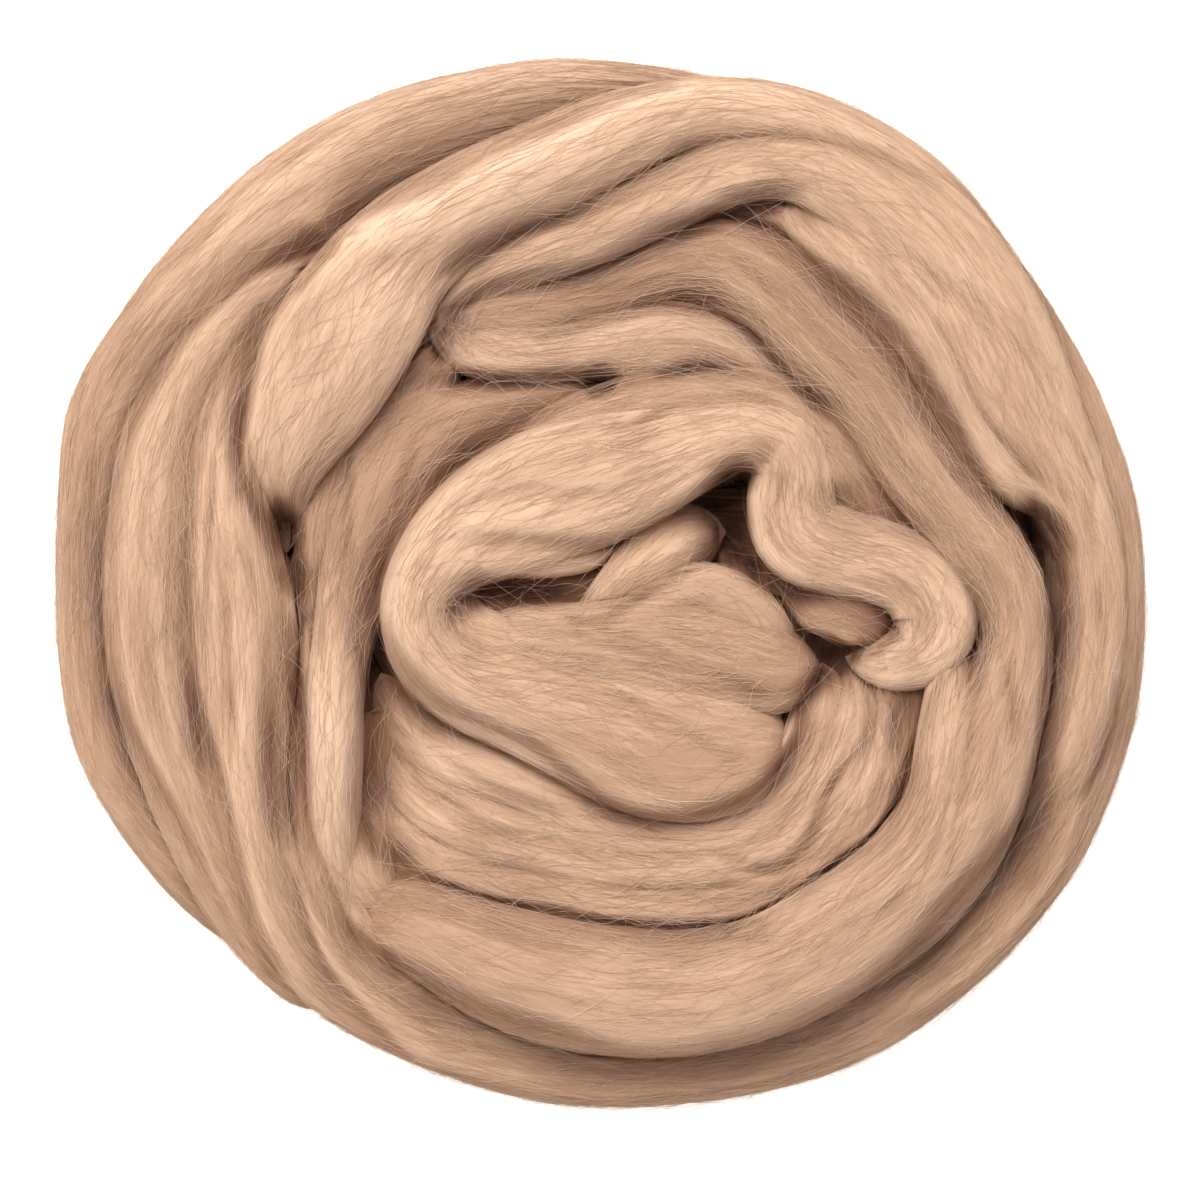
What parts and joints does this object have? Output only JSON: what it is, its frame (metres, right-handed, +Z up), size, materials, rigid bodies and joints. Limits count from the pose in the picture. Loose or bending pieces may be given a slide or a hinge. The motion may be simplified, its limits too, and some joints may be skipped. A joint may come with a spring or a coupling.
{
  "type": "wool roving",
  "caption": "Nest of soft camel-coloured wool roving: a long untwisted combed strand wound into a flat round coil, for felting and spinning.",
  "frame": {"origin": "centre of the nest's outline, on the flat underside that it rests on", "axes": "+Z up out of the wound top face, +X across the nest's widest way"},
  "size_m": [0.199, 0.1905, 0.062],
  "materials": {
    "camel_wool": "soft, matt, fine parallel fibres with a faint sheen"
  },
  "bodies": {
    "root": {"wound_roving": "camel_wool"}
  },
  "joints": []
}
